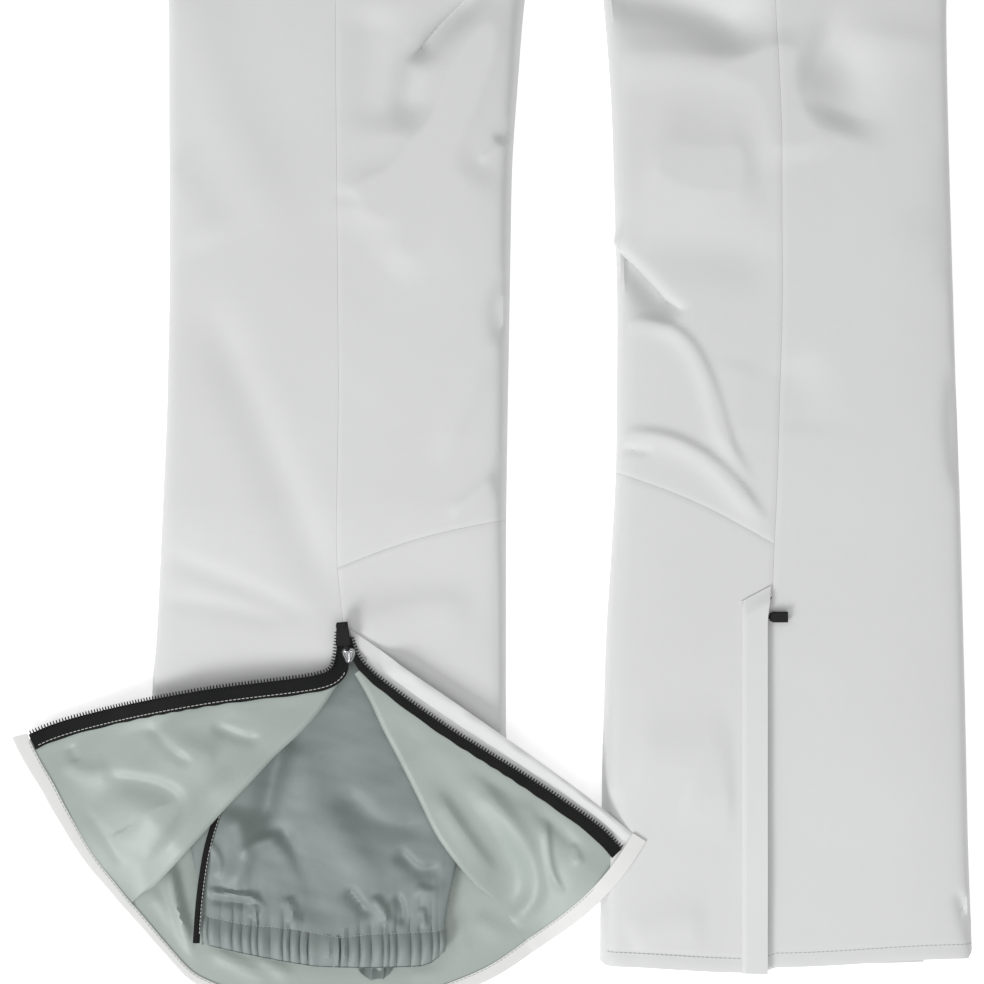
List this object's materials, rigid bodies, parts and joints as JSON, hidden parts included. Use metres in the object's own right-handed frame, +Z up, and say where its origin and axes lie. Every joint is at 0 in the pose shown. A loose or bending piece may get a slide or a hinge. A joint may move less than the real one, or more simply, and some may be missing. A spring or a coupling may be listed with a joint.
{
  "type": "ski pants",
  "caption": "Insulated ski pants laid flat on their back, one leg end zipped open and spread to show its lining, snow gaiter and elastic cuff.",
  "frame": {"origin": "middle of the bounding box, on the surface the pants lie on", "axes": "+Y from the hems to the waist, +Z up out of the front of the pants, +X to the side of the closed leg"},
  "size_m": [0.6434, 1.098, 0.0356],
  "materials": {
    "shell_fabric": "matt fine plain-weave shell cloth",
    "lining_taffeta": "smooth taffeta with a soft sheen",
    "gaiter_nylon": "plain nylon",
    "gaiter_elastic": "gathered cloth over elastic",
    "hem_facing": "plain woven binding",
    "zip_tape": "woven tape with a spiral coil",
    "pull_tab_plastic": "moulded, satin",
    "dark_chrome": "dark nickel plating"
  },
  "bodies": {
    "garment": {"right_front_inner_panel": "shell_fabric", "right_front_outer_panel": "shell_fabric", "right_scuff_panel": "shell_fabric", "left_front_inner_panel": "shell_fabric", "left_front_outer_panel": "shell_fabric", "left_scuff_panel": "shell_fabric", "right_hip_panel": "shell_fabric", "left_hip_panel": "shell_fabric", "right_back_panel": "shell_fabric", "left_back_panel": "shell_fabric", "left_outer_flap_shell": "shell_fabric", "left_inner_flap_shell": "shell_fabric", "waistband_front_right": "shell_fabric", "waistband_front_left": "shell_fabric", "waistband_back": "shell_fabric", "fly_guard": "shell_fabric", "right_belt_loop_near": "shell_fabric", "right_belt_loop_far": "shell_fabric", "left_belt_loop_near": "shell_fabric", "left_belt_loop_far": "shell_fabric", "right_back_lining": "lining_taffeta", "left_back_lining": "lining_taffeta", "left_outer_flap_lining": "lining_taffeta", "left_inner_flap_lining": "lining_taffeta", "right_pocket_bag": "lining_taffeta", "left_pocket_bag": "lining_taffeta", "right_gaiter": "gaiter_nylon", "left_gaiter": "gaiter_nylon", "right_gaiter_cuff": "gaiter_elastic", "left_gaiter_cuff": "gaiter_elastic", "left_hem_facing": "hem_facing", "right_hem_facing": "hem_facing", "right_zip_half_inner": "zip_tape", "right_zip_half_outer": "zip_tape", "left_zip_half_inner": "zip_tape", "left_zip_half_outer": "zip_tape", "fly_zip": "zip_tape", "right_pocket_zip": "zip_tape", "left_pocket_zip": "zip_tape", "waist_snap_socket": "dark_chrome"},
    "right_storm_flap": {"right_storm_flap": "shell_fabric"},
    "left_storm_flap": {"left_storm_flap": "shell_fabric"},
    "right_zip_slider": {"right_zip_slider": "dark_chrome"},
    "right_zip_puller": {"right_zip_puller": "pull_tab_plastic"},
    "left_zip_slider": {"left_zip_slider": "dark_chrome"},
    "left_zip_puller": {"left_zip_puller": "pull_tab_plastic"},
    "fly_slider": {"fly_slider": "dark_chrome"},
    "fly_puller": {"fly_puller": "pull_tab_plastic"},
    "right_pocket_slider": {"right_pocket_slider": "dark_chrome"},
    "right_pocket_puller": {"right_pocket_puller": "pull_tab_plastic"},
    "left_pocket_slider": {"left_pocket_slider": "dark_chrome"},
    "left_pocket_puller": {"left_pocket_puller": "pull_tab_plastic"},
    "fly_flap": {"fly_flap": "shell_fabric"},
    "waist_tab": {"waist_tab": "shell_fabric", "waist_snap_cap": "dark_chrome"},
    "right_adjuster_tab": {"right_adjuster_tab": "shell_fabric"},
    "left_adjuster_tab": {"left_adjuster_tab": "shell_fabric"}
  },
  "joints": [
    {"name": "right_storm_flap_lift", "type": "hinge", "parent": "garment", "child": "right_storm_flap", "pos_m": [0.16328, -0.38602, 0.027], "axis": [0, -1, 0], "range_deg": [0, 150]},
    {"name": "left_storm_flap_lift", "type": "hinge", "parent": "garment", "child": "left_storm_flap", "pos_m": [-0.08301, -0.32238, 0.0289], "axis": [0.838, -0.5442, -0.0409], "range_deg": [0, 60]},
    {"name": "right_zip_slide", "type": "slide", "parent": "garment", "child": "right_zip_slider", "axis": [0, -1, 0], "range_m": [0, 0.215]},
    {"name": "right_puller_swivel", "type": "hinge", "parent": "right_zip_slider", "child": "right_zip_puller", "pos_m": [0.17268, -0.27903, 0.0275], "axis": [0, 0, 1], "range_deg": [-12, 12]},
    {"name": "left_zip_slide", "type": "slide", "parent": "garment", "child": "left_zip_slider", "axis": [0, -1, 0], "range_m": [0, 0.008]},
    {"name": "left_puller_swivel", "type": "hinge", "parent": "left_zip_slider", "child": "left_zip_puller", "pos_m": [-0.09732, -0.30502, 0.0275], "axis": [0, 0, 1], "range_deg": [-60, 60]},
    {"name": "fly_zip_slide", "type": "slide", "parent": "garment", "child": "fly_slider", "axis": [0, -1, 0], "range_m": [0, 0.125]},
    {"name": "fly_puller_swivel", "type": "hinge", "parent": "fly_slider", "child": "fly_puller", "pos_m": [0.04568, 0.49498, 0.0278], "axis": [0, 0, 1], "range_deg": [-10, 10]},
    {"name": "fly_flap_lift", "type": "hinge", "parent": "garment", "child": "fly_flap", "pos_m": [0.02968, 0.42998, 0.0272], "axis": [0, -1, 0], "range_deg": [0, 150]},
    {"name": "right_pocket_zip_slide", "type": "slide", "parent": "garment", "child": "right_pocket_slider", "axis": [0.5606, -0.8276, -0.0282], "range_m": [0, 0.125]},
    {"name": "right_pocket_puller_swivel", "type": "hinge", "parent": "right_pocket_slider", "child": "right_pocket_puller", "pos_m": [0.16272, 0.48553, 0.02942], "axis": [0, 0, 1], "range_deg": [-60, 60]},
    {"name": "left_pocket_zip_slide", "type": "slide", "parent": "garment", "child": "left_pocket_slider", "axis": [-0.5606, -0.8276, -0.0282], "range_m": [0, 0.125]},
    {"name": "left_pocket_puller_swivel", "type": "hinge", "parent": "left_pocket_slider", "child": "left_pocket_puller", "pos_m": [-0.07136, 0.48553, 0.02942], "axis": [0, 0, 1], "range_deg": [-60, 60]},
    {"name": "waist_tab_lift", "type": "hinge", "parent": "garment", "child": "waist_tab", "pos_m": [0.01568, 0.52998, 0.0272], "axis": [0, -1, 0], "range_deg": [0, 150]},
    {"name": "right_adjuster_lift", "type": "hinge", "parent": "garment", "child": "right_adjuster_tab", "pos_m": [0.19418, 0.52898, 0.02214], "axis": [0, 1, 0], "range_deg": [0, 110]},
    {"name": "left_adjuster_lift", "type": "hinge", "parent": "garment", "child": "left_adjuster_tab", "pos_m": [-0.10282, 0.52898, 0.02214], "axis": [0, -1, 0], "range_deg": [0, 110]}
  ]
}
